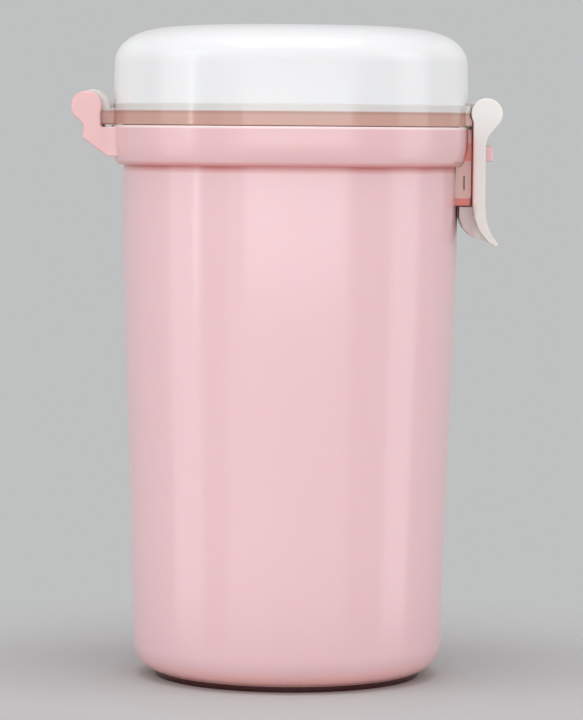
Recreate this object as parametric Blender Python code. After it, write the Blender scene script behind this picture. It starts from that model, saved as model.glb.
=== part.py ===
"""Formula dispenser: a tapered powder tub with a hinged, latched lid over a rotary pouring disc.

Sizes are in millimetres and the mesh helpers turn them into metres. Z is up, the tub stands on z = 0
around the Z axis, the lid's hinge is on the -X side and its latch on the +X side.
"""

import math

import bmesh
import bpy
from mathutils import Vector

MM = 0.001
SEGMENTS = 48
CLEARANCE = 0.3

# Tub: one tapered wall from the bottom corner to the rim.
RIM_HEIGHT = 145.0
RIM_RADIUS = 43.65
CORNER_HEIGHT = 8.8
CORNER_WALL_RADIUS = 40.2
CORNER_RADIUS = 7.5
WALL = 2.0
FLOOR_TOP = 3.5
INNER_CORNER_RADIUS = 8.0
FOOT_INNER_RADIUS = 31.5
FOOT_OUTER_RADIUS = 34.5
FOOT_HEIGHT = 1.3
KEY_PEG_SIDE = 6.0
KEY_PEG_TOP = 12.0

# Collar clipped round the tub under its rim, with the hinge ears and the latch's keeper.
COLLAR_BOTTOM = 132.7
COLLAR_TOP = 142.6
COLLAR_RADIUS = 46.5
COLLAR_BOTTOM_RADIUS = 44.3

# Lid: a clear frame that seats on the rim, with a white cover snapped on top.
FRAME_BOTTOM = 143.0
FRAME_TOP = 147.5
FRAME_RADIUS = 46.1
FRAME_SKIRT_INNER = 44.5
FRAME_LIP_INNER = 44.9
FRAME_PLATE_TOP = 147.9
FRAME_PLATE_BOTTOM = 145.4
FRAME_SPIGOT_BOTTOM = 141.0
FRAME_OPENING_RADIUS = 38.3
COVER_BOTTOM = 147.8
COVER_RADIUS = 45.9
COVER_SHOULDER_RADIUS = 45.7
COVER_SHOULDER_Z = 158.8
COVER_SHOULDER_RISE = 9.4
COVER_CROWN = 0.6
COVER_WALL = 2.2
SHOULDER_POWER = 7.0

# Hinge and latch axes, both parallel to Y.
HINGE_X = -52.45
HINGE_Z = 147.55
LATCH_X = 50.3
LATCH_Z = 146.3
EAR_RADIUS = 3.95
LUG_RADIUS = 3.95
LATCH_LUG_RADIUS = 3.6
LATCH_KNUCKLE_RADIUS = 4.05
LUG_HALF_WIDTH = 7.0
EAR_INNER = 7.3
EAR_OUTER = 12.5
PIN_RADIUS = 1.2
PIN_HOLE_RADIUS = 1.5
PIN_BLIND_END = 11.0

# Latch lever and its keeper.
LEVER_INNER_X = 46.8
LEVER_OUTER_X = 50.1
LEVER_TIP_Z = 112.2
HOOK_TOP = 122.3
WINDOW_HALF_WIDTH = 3.5
WINDOW_BOTTOM = 132.9
WINDOW_TOP = 139.4
TAB_HALF_WIDTH = 3.0
TAB_BOTTOM = 134.0
TAB_TOP = 138.3
TAB_END_X = 52.5
KEEPER_BOTTOM = 122.7
KEEPER_LEDGE_TOP = 125.2
KEEPER_LEDGE_X = 46.3
KEEPER_WALL_X = 46.0
KEEPER_HALF_WIDTH = 9.0
CLAW_HALF_WIDTH = 8.5
CLAW_TIP_X = 43.7

# Divider, four compartments, and the pouring disc that turns on its post.
DIVIDER_TOP = 135.6
DIVIDER_BOTTOM = 3.9
VANE_CORNER_Z = 12.8
VANE_THICKNESS = 1.6
VANE_END_GAP = 0.6
POST_RADIUS = 6.5
SPIGOT_RADIUS = 3.0
SPIGOT_TOP = 138.3
SCREW_RADIUS = 1.1
DISC_BOTTOM = 135.9
DISC_TOP = 138.0
DISC_RIM_TOP = 140.2
DISC_RADIUS = 40.9
DISC_RIM_INNER = 38.2
GROOVE_RADIUS = 39.5
GROOVE_BOTTOM = 137.1
GROOVE_TOP = 139.1
KNOB_RADIUS = 11.5
KNOB_TOP = 147.5

# Spout on the disc, towards -Y, and its flap, whose axis is parallel to X.
SPOUT_TOP = 146.0
SPOUT_NEAR = 18.5
SPOUT_FAR = 31.5
SPOUT_HALF_WIDTH = 8.5
SPOUT_WALL = 1.5
FLAP_AXIS_Y = -16.5
FLAP_AXIS_Z = 145.9
FLAP_KNUCKLE_RADIUS = 2.0
FLAP_PIN_RADIUS = 0.9
FLAP_PIN_HOLE_RADIUS = 1.2
FLAP_LUG_INNER = 5.0
FLAP_LUG_OUTER = 7.2
FLAP_BOTTOM = 146.3
FLAP_TOP = 148.0

PINK = (0.80, 0.47, 0.50, 1.0)
WHITE = (0.88, 0.89, 0.88, 1.0)
CLEAR = (0.92, 0.92, 0.90, 1.0)
SILICONE = (0.85, 0.84, 0.80, 1.0)
TRANSLUCENT = (0.90, 0.86, 0.84, 1.0)
STEEL = (0.60, 0.60, 0.62, 1.0)


def clear_scene():
    """Remove everything that the file opened with."""
    for obj in list(bpy.data.objects):
        bpy.data.objects.remove(obj, do_unlink=True)


def plastic(name, colour, roughness, metallic=0.0, transmission=0.0):
    """A Principled material named after the piece it is for."""
    material = bpy.data.materials.new(name)
    material.use_nodes = True
    shader = material.node_tree.nodes["Principled BSDF"]
    shader.inputs["Base Color"].default_value = colour
    shader.inputs["Roughness"].default_value = roughness
    shader.inputs["Metallic"].default_value = metallic
    shader.inputs["Transmission Weight"].default_value = transmission
    material.diffuse_color = colour
    return material


def body_radius(height):
    """The tub's outer radius on its tapered wall, carried on to the rim."""
    slope = (RIM_RADIUS - CORNER_WALL_RADIUS) / (RIM_HEIGHT - CORNER_HEIGHT)
    return CORNER_WALL_RADIUS + slope * (height - CORNER_HEIGHT)


def arc(centre_x, centre_z, radius, start, end, steps):
    """Points along a circle from start to end, in degrees, ends included."""
    turns = [math.radians(start + (end - start) * step / steps) for step in range(steps + 1)]
    return [(centre_x + radius * math.cos(a), centre_z + radius * math.sin(a)) for a in turns]


def rounded_rectangle(low_x, high_x, low_y, high_y, radius, steps=4):
    """A rectangle with round corners, anticlockwise."""
    corners = (
        (high_x - radius, low_y + radius, -90.0),
        (high_x - radius, high_y - radius, 0.0),
        (low_x + radius, high_y - radius, 90.0),
        (low_x + radius, low_y + radius, 180.0),
    )
    points = []
    for centre_x, centre_y, start in corners:
        points += arc(centre_x, centre_y, radius, start, start + 90.0, steps)
    return points


def finish_mesh(name, mesh_data, material, pivot):
    """Close a bmesh into a smooth-shaded object whose origin is at the pivot."""
    bmesh.ops.recalc_face_normals(mesh_data, faces=mesh_data.faces)
    offset = Vector(pivot) * MM
    for vertex in mesh_data.verts:
        vertex.co = vertex.co * MM - offset
    mesh = bpy.data.meshes.new(name)
    mesh_data.to_mesh(mesh)
    mesh_data.free()
    mesh.materials.append(material)
    mesh.shade_smooth()
    mesh.set_sharp_from_angle(angle=math.radians(35.0))
    obj = bpy.data.objects.new(name, mesh)
    obj.location = offset
    bpy.context.scene.collection.objects.link(obj)
    return obj


def turned(name, section, material, pivot=(0.0, 0.0, 0.0), segments=SEGMENTS, centre=(0.0, 0.0)):
    """A solid of revolution about a vertical line, from a closed (radius, height) section."""
    mesh_data = bmesh.new()
    rings = []
    for radius, height in section:
        ring = []
        for step in range(segments if radius > 0.0 else 1):
            turn = 2.0 * math.pi * step / segments
            x = centre[0] + radius * math.cos(turn)
            y = centre[1] + radius * math.sin(turn)
            ring.append(mesh_data.verts.new((x, y, height)))
        rings.append(ring)
    for ring, following in zip(rings, rings[1:] + rings[:1]):
        for step in range(segments):
            after = step + 1
            corners = []
            for source, index in ((ring, step), (ring, after), (following, after), (following, step)):
                vertex = source[index % len(source)]
                if vertex not in corners:
                    corners.append(vertex)
            if len(corners) > 2:
                mesh_data.faces.new(corners)
    return finish_mesh(name, mesh_data, material, pivot)


def prism(name, outline, axis, low, high, material, pivot=(0.0, 0.0, 0.0)):
    """A flat outline pushed out along X, Y or Z from low to high."""
    place = {
        "X": lambda a, b, depth: (depth, a, b),
        "Y": lambda a, b, depth: (a, depth, b),
        "Z": lambda a, b, depth: (a, b, depth),
    }[axis]
    mesh_data = bmesh.new()
    near = [mesh_data.verts.new(place(a, b, low)) for a, b in outline]
    far = [mesh_data.verts.new(place(a, b, high)) for a, b in outline]
    mesh_data.faces.new(near)
    mesh_data.faces.new(far)
    for index in range(len(outline)):
        after = (index + 1) % len(outline)
        mesh_data.faces.new((near[index], near[after], far[after], far[index]))
    return finish_mesh(name, mesh_data, material, pivot)


def rod(name, centre, radius, axis, low, high, material, pivot=(0.0, 0.0, 0.0), segments=20):
    """A round bar along X or Y."""
    outline = arc(centre[0], centre[1], radius, 0.0, 360.0 * (segments - 1) / segments, segments - 1)
    return prism(name, outline, axis, low, high, material, pivot)


def flap_axis_rod(name, radius, half_length, material):
    """A round bar along the flap's axis, as its pin or as a cutter for the holes it runs in."""
    centre = (FLAP_AXIS_Y, FLAP_AXIS_Z)
    return rod(name, centre, radius, "X", -half_length, half_length, material, segments=12)


def combine(obj, helper, operation):
    """Add or cut a helper solid with an exact Boolean, and keep the helper out of the model."""
    helper.hide_render = True
    helper.display_type = "WIRE"
    modifier = obj.modifiers.new(helper.name, "BOOLEAN")
    modifier.operation = operation
    modifier.solver = "EXACT"
    modifier.object = helper


def pivot_empty(name, location):
    """An empty on a joint's axis, for the pieces that turn with it."""
    empty = bpy.data.objects.new(name, None)
    empty.location = Vector(location) * MM
    empty.empty_display_size = 0.01
    bpy.context.scene.collection.objects.link(empty)
    return empty


def hang_on(children, parent, parent_place, child_place):
    """Parent objects whose origin is at child_place to an empty at parent_place."""
    for child in children:
        child.parent = parent
        child.location = (Vector(child_place) - Vector(parent_place)) * MM


# ---------------------------------------------------------------- tub side


def make_body_shell():
    """The tub: foot ring, rounded bottom corner, tapered wall, plain rim and a square key peg inside."""
    corner_centre = CORNER_WALL_RADIUS - CORNER_RADIUS
    inner_wall = CORNER_WALL_RADIUS - WALL
    inner_centre = inner_wall - INNER_CORNER_RADIUS
    section = [(0.0, FOOT_HEIGHT), (FOOT_INNER_RADIUS, FOOT_HEIGHT), (FOOT_INNER_RADIUS, 0.0)]
    section.append((FOOT_OUTER_RADIUS, 0.0))
    foot_angle = -math.degrees(math.acos((FOOT_OUTER_RADIUS - corner_centre) / CORNER_RADIUS))
    section += arc(corner_centre, CORNER_HEIGHT, CORNER_RADIUS, foot_angle, 0.0, 6)
    section += [
        (RIM_RADIUS, RIM_HEIGHT - 0.4),
        (RIM_RADIUS - 0.4, RIM_HEIGHT),
        (RIM_RADIUS - WALL + 0.4, RIM_HEIGHT),
        (RIM_RADIUS - WALL, RIM_HEIGHT - 0.4),
    ]
    floor_centre_z = FLOOR_TOP + INNER_CORNER_RADIUS
    section += arc(inner_centre, floor_centre_z, INNER_CORNER_RADIUS, 0.0, -90.0, 5)
    section.append((0.0, FLOOR_TOP))
    shell = turned("body_shell", section, plastic("body_pink", PINK, 0.25))
    half = KEY_PEG_SIDE / 2.0
    outline = rounded_rectangle(-half, half, -half, half, 0.6, 1)
    peg = prism("key_peg", outline, "Z", FLOOR_TOP - 1.0, KEY_PEG_TOP, shell.data.materials[0])
    combine(shell, peg, "UNION")
    return shell


def make_collar_ring():
    """The collar, with two hinge ears on a bracket, the latch's keeper and the catch tab."""
    pink = plastic("collar_pink", PINK, 0.28)
    bore_top = body_radius(COLLAR_TOP) + CLEARANCE
    bore_bottom = body_radius(COLLAR_BOTTOM) + CLEARANCE
    bulge_height = 6.4
    section = [(bore_bottom, COLLAR_BOTTOM)]
    for step in range(6):
        turn = math.radians(90.0 * step / 5)
        radius = COLLAR_BOTTOM_RADIUS + (COLLAR_RADIUS - COLLAR_BOTTOM_RADIUS) * math.sin(turn)
        section.append((radius, COLLAR_BOTTOM + bulge_height * (1.0 - math.cos(turn))))
    section += [(COLLAR_RADIUS, COLLAR_TOP - 0.7), (COLLAR_RADIUS - 0.7, COLLAR_TOP), (bore_top, COLLAR_TOP)]
    collar = turned("collar_ring", section, pink)

    bracket = [(-43.2, 134.4), (-43.2, 142.3), (-53.4, 142.3), (-53.4, 139.4), (-46.8, 134.6)]
    combine(collar, prism("ear_bracket", bracket, "Y", -EAR_OUTER, EAR_OUTER, pink), "UNION")
    stem_left = HINGE_X - 0.7
    stem_right = HINGE_X + 3.8
    for side, low in (("front", -EAR_OUTER), ("back", EAR_INNER)):
        ear = [(stem_left, 141.3), (stem_right, 141.3)]
        ear += arc(HINGE_X, HINGE_Z, EAR_RADIUS, -24.0, 250.0, 14)
        helper = prism("ear_" + side, ear, "Y", low, low + EAR_OUTER - EAR_INNER, pink)
        combine(collar, helper, "UNION")

    keeper = [
        (42.6, KEEPER_BOTTOM),
        (KEEPER_LEDGE_X, KEEPER_BOTTOM),
        (KEEPER_LEDGE_X, KEEPER_LEDGE_TOP),
        (KEEPER_WALL_X, KEEPER_LEDGE_TOP + 0.8),
        (KEEPER_WALL_X, 133.2),
        (45.3, 134.6),
        (42.6, 134.6),
    ]
    combine(collar, prism("keeper", keeper, "Y", -KEEPER_HALF_WIDTH, KEEPER_HALF_WIDTH, pink), "UNION")
    tab = [(45.0, TAB_BOTTOM), (TAB_END_X, TAB_BOTTOM)]
    tab += arc(TAB_END_X - 1.2, TAB_TOP - 1.2, 1.2, 0.0, 90.0, 3)
    tab.append((45.0, TAB_TOP))
    combine(collar, prism("catch_tab", tab, "Y", -TAB_HALF_WIDTH, TAB_HALF_WIDTH, pink), "UNION")

    cut_low, cut_high = 118.0, 150.0
    bore = [(0.0, cut_low), (body_radius(cut_low) + CLEARANCE, cut_low)]
    bore += [(body_radius(cut_high) + CLEARANCE, cut_high), (0.0, cut_high)]
    combine(collar, turned("collar_bore", bore, pink), "DIFFERENCE")
    hole = rod("hinge_hole", (HINGE_X, HINGE_Z), PIN_HOLE_RADIUS, "Y", -PIN_BLIND_END - 0.3, 20.0, pink)
    combine(collar, hole, "DIFFERENCE")
    return collar


def make_divider():
    """Four vanes on a hollow-footed post, which the square peg on the floor keeps from turning."""
    material = plastic("divider_plastic", TRANSLUCENT, 0.35)
    half = VANE_THICKNESS / 2.0
    top_reach = body_radius(DIVIDER_TOP) - WALL - VANE_END_GAP
    low_reach = body_radius(VANE_CORNER_Z) - WALL - VANE_END_GAP - 0.2
    foot_reach = CORNER_WALL_RADIUS - WALL - INNER_CORNER_RADIUS - 1.0
    vane_bottom = DIVIDER_BOTTOM + 0.2
    outline = [(-foot_reach, vane_bottom), (foot_reach, vane_bottom)]
    outline += [(low_reach, VANE_CORNER_Z), (top_reach, DIVIDER_TOP)]
    outline += [(-top_reach, DIVIDER_TOP), (-low_reach, VANE_CORNER_Z)]
    post = [
        (0.0, DIVIDER_BOTTOM),
        (POST_RADIUS, DIVIDER_BOTTOM),
        (POST_RADIUS, DIVIDER_TOP),
        (SPIGOT_RADIUS, DIVIDER_TOP),
        (SPIGOT_RADIUS, SPIGOT_TOP),
        (0.0, SPIGOT_TOP),
    ]
    divider = turned("divider", post, material, segments=24)
    for index, turn in enumerate((45.0, -45.0)):
        vane = prism("vane_%d" % index, outline, "Y", -half, half, material)
        vane.rotation_euler.z = math.radians(turn)
        combine(divider, vane, "UNION")
    side = KEY_PEG_SIDE / 2.0 + 0.4
    socket = [(-side, -side), (side, -side), (side, side), (-side, side)]
    combine(divider, prism("key_socket", socket, "Z", 3.0, KEY_PEG_TOP + 0.5, material), "DIFFERENCE")
    hole_radius = SCREW_RADIUS + CLEARANCE
    above = SPIGOT_TOP + 1.0
    screw_hole = [(0.0, 126.0), (hole_radius, 126.0), (hole_radius, above), (0.0, above)]
    combine(divider, turned("screw_hole", screw_hole, material, segments=16), "DIFFERENCE")
    return divider


def make_hub_screw():
    """The pan-head screw that holds the disc down on the post."""
    section = [(0.0, 126.6), (SCREW_RADIUS, 127.4), (SCREW_RADIUS, 139.7)]
    section += [(3.2, 139.7), (3.2, 140.8), (2.4, 141.5), (0.0, 141.8)]
    return turned("hub_screw", section, plastic("screw_steel", STEEL, 0.3, metallic=1.0), segments=20)


def make_hub_washer():
    """The washer between the screw's head and the disc."""
    section = [(1.5, 138.6), (5.6, 138.6), (5.6, 139.4), (1.5, 139.4)]
    return turned("hub_washer", section, plastic("washer_steel", STEEL, 0.35, metallic=1.0), segments=24)


# ---------------------------------------------------------------- rotary disc


def make_pour_disc():
    """The rotary disc with its seal groove, pouring spout and the flap's two lugs."""
    white = plastic("disc_white", WHITE, 0.32)
    hub_radius = SPIGOT_RADIUS + CLEARANCE
    section = [
        (hub_radius, DISC_BOTTOM),
        (DISC_RADIUS, DISC_BOTTOM),
        (DISC_RADIUS, GROOVE_BOTTOM),
        (GROOVE_RADIUS, GROOVE_BOTTOM),
        (GROOVE_RADIUS, GROOVE_TOP),
        (DISC_RADIUS, GROOVE_TOP),
        (DISC_RADIUS, DISC_RIM_TOP),
        (DISC_RIM_INNER, DISC_RIM_TOP),
        (DISC_RIM_INNER - 0.8, DISC_TOP),
        (hub_radius, DISC_TOP),
    ]
    disc = turned("pour_disc", section, white)
    outer = rounded_rectangle(-SPOUT_HALF_WIDTH, SPOUT_HALF_WIDTH, -SPOUT_FAR, -SPOUT_NEAR, 3.0)
    combine(disc, prism("spout_outside", outer, "Z", DISC_BOTTOM + 1.0, SPOUT_TOP, white), "UNION")
    lug = [(-SPOUT_NEAR - 0.6, DISC_TOP - 1.0), (-SPOUT_NEAR - 0.6, FLAP_AXIS_Z - 0.6)]
    lug += arc(FLAP_AXIS_Y, FLAP_AXIS_Z, FLAP_KNUCKLE_RADIUS, 180.0, 0.0, 8)
    lug.append((FLAP_AXIS_Y + FLAP_KNUCKLE_RADIUS, DISC_TOP - 1.0))
    for side, low in (("left", -FLAP_LUG_OUTER), ("right", FLAP_LUG_INNER)):
        helper = prism("flap_lug_" + side, lug, "X", low, low + FLAP_LUG_OUTER - FLAP_LUG_INNER, white)
        combine(disc, helper, "UNION")
    inner_half = SPOUT_HALF_WIDTH - SPOUT_WALL
    inner = rounded_rectangle(-inner_half, inner_half, SPOUT_WALL - SPOUT_FAR, -SPOUT_NEAR - SPOUT_WALL, 2.0)
    combine(disc, prism("spout_inside", inner, "Z", DISC_BOTTOM - 2.0, SPOUT_TOP + 2.0, white), "DIFFERENCE")
    combine(disc, flap_axis_rod("flap_hole", FLAP_PIN_HOLE_RADIUS, 20.0, white), "DIFFERENCE")
    return disc


def make_disc_seal():
    """The silicone ring in the disc's groove, running in the tub's bore."""
    section = [(39.8, 137.4), (40.6, 137.4), (41.05, 138.1), (40.6, 138.8), (39.8, 138.8)]
    return turned("disc_seal", section, plastic("seal_silicone", SILICONE, 0.55))


def make_disc_knob():
    """The fluted knob that turns the disc, hollow over the hub screw."""
    mesh_data = bmesh.new()
    flutes = 12
    count = 4 * flutes
    levels = ((DISC_TOP + CLEARANCE, 0.0), (KNOB_TOP - 1.2, 0.5), (KNOB_TOP, 1.6))
    rings = []
    for height, inset in levels:
        ring = []
        for step in range(count):
            turn = 2.0 * math.pi * step / count
            radius = KNOB_RADIUS - inset - 0.45 * (1.0 + math.cos(flutes * turn))
            ring.append(mesh_data.verts.new((radius * math.cos(turn), radius * math.sin(turn), height)))
        rings.append(ring)
    for ring, following in zip(rings, rings[1:]):
        for step in range(count):
            after = (step + 1) % count
            mesh_data.faces.new((ring[step], ring[after], following[after], following[step]))
    mesh_data.faces.new(rings[0])
    mesh_data.faces.new(rings[-1])
    knob = finish_mesh("disc_knob", mesh_data, plastic("knob_pink", PINK, 0.3), (0.0, 0.0, 0.0))
    hollow = [(0.0, DISC_TOP - 1.0), (8.6, DISC_TOP - 1.0), (8.6, 144.6), (7.8, 145.4), (0.0, 145.4)]
    combine(knob, turned("knob_hollow", hollow, knob.data.materials[0], segments=24), "DIFFERENCE")
    return knob


FLAP_PIVOT = (0.0, FLAP_AXIS_Y, FLAP_AXIS_Z)


def make_spout_flap():
    """The flap over the spout: knuckle, neck, lid plate and a thumb tab."""
    pink = plastic("flap_pink", PINK, 0.3)
    outline = rounded_rectangle(-8.8, 8.8, -32.0, -18.9, 3.2)
    flap = prism("spout_flap", outline, "Z", FLAP_BOTTOM, FLAP_TOP, pink, FLAP_PIVOT)
    knuckle_half = FLAP_LUG_INNER - 0.4
    neck = [(-20.5, FLAP_BOTTOM + 0.3), (-18.4, FLAP_BOTTOM)]
    neck += arc(FLAP_AXIS_Y, FLAP_AXIS_Z, FLAP_KNUCKLE_RADIUS, 200.0, 430.0, 10)
    neck += [(-17.6, FLAP_TOP - 0.1), (-20.5, FLAP_TOP - 0.3)]
    combine(flap, prism("flap_neck", neck, "X", -knuckle_half, knuckle_half, pink), "UNION")
    thumb = rounded_rectangle(-4.0, 4.0, -34.0, -30.5, 1.2)
    combine(flap, prism("flap_thumb", thumb, "Z", FLAP_BOTTOM + 0.4, FLAP_TOP - 0.4, pink), "UNION")
    combine(flap, flap_axis_rod("flap_bore", FLAP_PIN_HOLE_RADIUS, 20.0, pink), "DIFFERENCE")
    return flap


def make_spout_seal():
    """The silicone plug under the flap."""
    outline = rounded_rectangle(-6.6, 6.6, -29.6, -20.4, 1.8)
    seal = plastic("plug_silicone", SILICONE, 0.55)
    return prism("spout_seal", outline, "Z", 144.4, FLAP_BOTTOM - CLEARANCE, seal, FLAP_PIVOT)


def make_flap_pin():
    """The pin through the flap's lugs and knuckle."""
    steel = plastic("flap_pin_steel", STEEL, 0.3, metallic=1.0)
    return flap_axis_rod("flap_pin", FLAP_PIN_RADIUS, FLAP_LUG_OUTER, steel)


# ---------------------------------------------------------------- lid

HINGE_PIVOT = (HINGE_X, 0.0, HINGE_Z)
LATCH_PIVOT = (LATCH_X, 0.0, LATCH_Z)


def make_lid_frame():
    """The clear lid frame: skirt over the rim, sealing spigot, hinge lug and latch lug."""
    clear = plastic("frame_clear", CLEAR, 0.08, transmission=0.85)
    section = [
        (FRAME_SKIRT_INNER, FRAME_BOTTOM),
        (FRAME_RADIUS, FRAME_BOTTOM),
        (FRAME_RADIUS, FRAME_TOP),
        (FRAME_LIP_INNER, FRAME_TOP),
        (FRAME_LIP_INNER, 146.5),
        (43.0, 146.5),
        (43.0, FRAME_PLATE_TOP),
        (FRAME_OPENING_RADIUS, FRAME_PLATE_TOP),
        (FRAME_OPENING_RADIUS, FRAME_SPIGOT_BOTTOM),
        (40.6, FRAME_SPIGOT_BOTTOM),
        (40.6, FRAME_SPIGOT_BOTTOM + 0.5),
        (39.8, FRAME_SPIGOT_BOTTOM + 0.9),
        (39.8, FRAME_PLATE_BOTTOM),
        (FRAME_SKIRT_INNER, FRAME_PLATE_BOTTOM),
    ]
    frame = turned("lid_frame", section, clear, HINGE_PIVOT)
    lug = [(-45.0, 143.3), (-45.0, 147.2), (-46.4, 147.2), (-46.4, 148.4)]
    lug += [(-47.6, 150.3), (-49.3, 151.6), (-51.2, 152.0)]
    lug += arc(HINGE_X, HINGE_Z, LUG_RADIUS, 100.0, 272.0, 11)
    lug.append((-49.6, 143.3))
    combine(frame, prism("hinge_lug", lug, "Y", -LUG_HALF_WIDTH, LUG_HALF_WIDTH, clear), "UNION")
    lug = [(45.0, 147.2), (45.0, 143.3)]
    lug += arc(LATCH_X, LATCH_Z, LATCH_LUG_RADIUS, -110.0, 100.0, 12)
    lug += [(46.4, 149.2), (46.4, 147.2)]
    combine(frame, prism("latch_lug", lug, "Y", -LUG_HALF_WIDTH, LUG_HALF_WIDTH, clear), "UNION")
    for name, x, z in (("hinge_bore", HINGE_X, HINGE_Z), ("latch_bore", LATCH_X, LATCH_Z)):
        combine(frame, rod(name, (x, z), PIN_HOLE_RADIUS, "Y", -20.0, 20.0, clear), "DIFFERENCE")
    return frame


def dome_height(share, base, rise):
    """Height of a squarish dome with a slight crown, at a share of its outer radius."""
    return base + rise * math.sqrt(1.0 - share**SHOULDER_POWER) + COVER_CROWN * (1.0 - share * share)


def make_lid_cover():
    """The white domed cover, hollow, with a spigot that snaps into the frame's lip."""
    shares = (1.0, 0.995, 0.98, 0.955, 0.92, 0.87, 0.79, 0.65, 0.42, 0.0)
    section = [(COVER_RADIUS, COVER_BOTTOM)]
    for share in shares:
        height = dome_height(share, COVER_SHOULDER_Z, COVER_SHOULDER_RISE)
        section.append((COVER_SHOULDER_RADIUS * share, height))
    inner_radius = COVER_SHOULDER_RADIUS - COVER_WALL
    inner_base = COVER_SHOULDER_Z - 0.4
    inner_rise = COVER_SHOULDER_RISE - COVER_WALL + 0.4
    for share in reversed(shares[2:]):
        section.append((inner_radius * share, dome_height(share, inner_base, inner_rise)))
    section += [
        (inner_radius, inner_base),
        (inner_radius, 151.0),
        (43.3, 150.0),
        (43.3, 146.8),
        (44.6, 146.8),
        (44.6, COVER_BOTTOM),
    ]
    return turned("lid_cover", section, plastic("cover_white", WHITE, 0.2), HINGE_PIVOT)


def make_lid_gasket():
    """The silicone ring round the frame's spigot, which seals in the tub's bore."""
    inner = 40.1
    outer = 41.2
    section = [(inner, 142.3), (outer - 0.4, 142.3), (outer, 142.9)]
    section += [(outer, 144.3), (outer - 0.4, 145.1), (inner, 145.1)]
    return turned("lid_gasket", section, plastic("gasket_silicone", SILICONE, 0.55), HINGE_PIVOT)


def make_pin(name, x, z, pivot):
    """A pin along Y, blind at the front and flush at the back."""
    steel = plastic(name + "_steel", STEEL, 0.3, metallic=1.0)
    return rod(name, (x, z), PIN_RADIUS, "Y", -PIN_BLIND_END, EAR_OUTER - 0.1, steel, pivot, segments=16)


def make_latch_lever():
    """The lever: two knuckles, a plate with a window for the tab, a hook and a flared finger tip."""
    white = plastic("latch_white", WHITE, 0.25)
    end = 180.0 + math.degrees(math.acos((LATCH_X - LEVER_INNER_X) / LATCH_KNUCKLE_RADIUS))
    outline = [(LEVER_OUTER_X, WINDOW_TOP + 0.4)]
    outline += arc(LATCH_X, LATCH_Z, LATCH_KNUCKLE_RADIUS, -50.0, end, 14)
    outline += [
        (LEVER_INNER_X, HOOK_TOP + 0.3),
        (LEVER_INNER_X + 0.5, 119.4),
        (LEVER_INNER_X + 1.8, 116.2),
        (LEVER_INNER_X + 4.2, 113.3),
        (52.9, LEVER_TIP_Z),
        (53.4, LEVER_TIP_Z + 0.4),
        (LEVER_OUTER_X + 1.5, 115.6),
        (LEVER_OUTER_X + 0.3, 119.2),
        (LEVER_OUTER_X, HOOK_TOP + 1.3),
    ]
    lever = prism("latch_lever", outline, "Y", -EAR_OUTER, EAR_OUTER, white, LATCH_PIVOT)
    claw = [(LEVER_INNER_X + 0.6, HOOK_TOP), (CLAW_TIP_X, HOOK_TOP), (CLAW_TIP_X, 119.5)]
    claw += [(44.6, 116.9), (46.4, 115.0), (48.6, 114.0), (51.2, 113.8), (49.6, 116.4)]
    combine(lever, prism("claw", claw, "Y", -CLAW_HALF_WIDTH, CLAW_HALF_WIDTH, white), "UNION")
    notch = [(40.0, 142.2), (60.0, 142.2), (60.0, 156.0), (40.0, 156.0)]
    combine(lever, prism("knuckle_gap", notch, "Y", -EAR_INNER, EAR_INNER, white), "DIFFERENCE")
    window = rounded_rectangle(-WINDOW_HALF_WIDTH, WINDOW_HALF_WIDTH, WINDOW_BOTTOM, WINDOW_TOP, 0.8, 2)
    combine(lever, prism("tab_window", window, "X", 44.0, 56.0, white), "DIFFERENCE")
    hole = rod("latch_hole", (LATCH_X, LATCH_Z), PIN_HOLE_RADIUS, "Y", -PIN_BLIND_END - 0.3, 20.0, white)
    combine(lever, hole, "DIFFERENCE")
    return lever


def main():
    clear_scene()
    make_body_shell()
    make_collar_ring()
    make_divider()
    make_hub_screw()
    make_hub_washer()
    make_pin("hinge_pin", HINGE_X, HINGE_Z, (0.0, 0.0, 0.0))

    origin = (0.0, 0.0, 0.0)
    disc_axis = pivot_empty("disc_axis", origin)
    turning_pieces = [make_pour_disc(), make_disc_seal(), make_disc_knob(), make_flap_pin()]
    hang_on(turning_pieces, disc_axis, origin, origin)
    flap_axis = pivot_empty("flap_axis", FLAP_PIVOT)
    hang_on([flap_axis], disc_axis, origin, FLAP_PIVOT)
    hang_on([make_spout_flap(), make_spout_seal()], flap_axis, FLAP_PIVOT, FLAP_PIVOT)

    lid_axis = pivot_empty("lid_axis", HINGE_PIVOT)
    hang_on([make_lid_frame(), make_lid_cover(), make_lid_gasket()], lid_axis, HINGE_PIVOT, HINGE_PIVOT)
    latch_axis = pivot_empty("latch_axis", LATCH_PIVOT)
    latch_pin = make_pin("latch_pin", LATCH_X, LATCH_Z, LATCH_PIVOT)
    hang_on([latch_axis, latch_pin], lid_axis, HINGE_PIVOT, LATCH_PIVOT)
    hang_on([make_latch_lever()], latch_axis, LATCH_PIVOT, LATCH_PIVOT)


main()
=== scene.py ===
"""The looks of the formula dispenser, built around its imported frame.

Sizes are in millimetres in the frame's own axes, and the mesh helpers turn them into metres. The hinge
is on the -X side, the latch on the +X side, and the camera looks along +Y.
"""

import math

import bmesh
import bpy
from mathutils import Matrix, Vector


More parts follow.
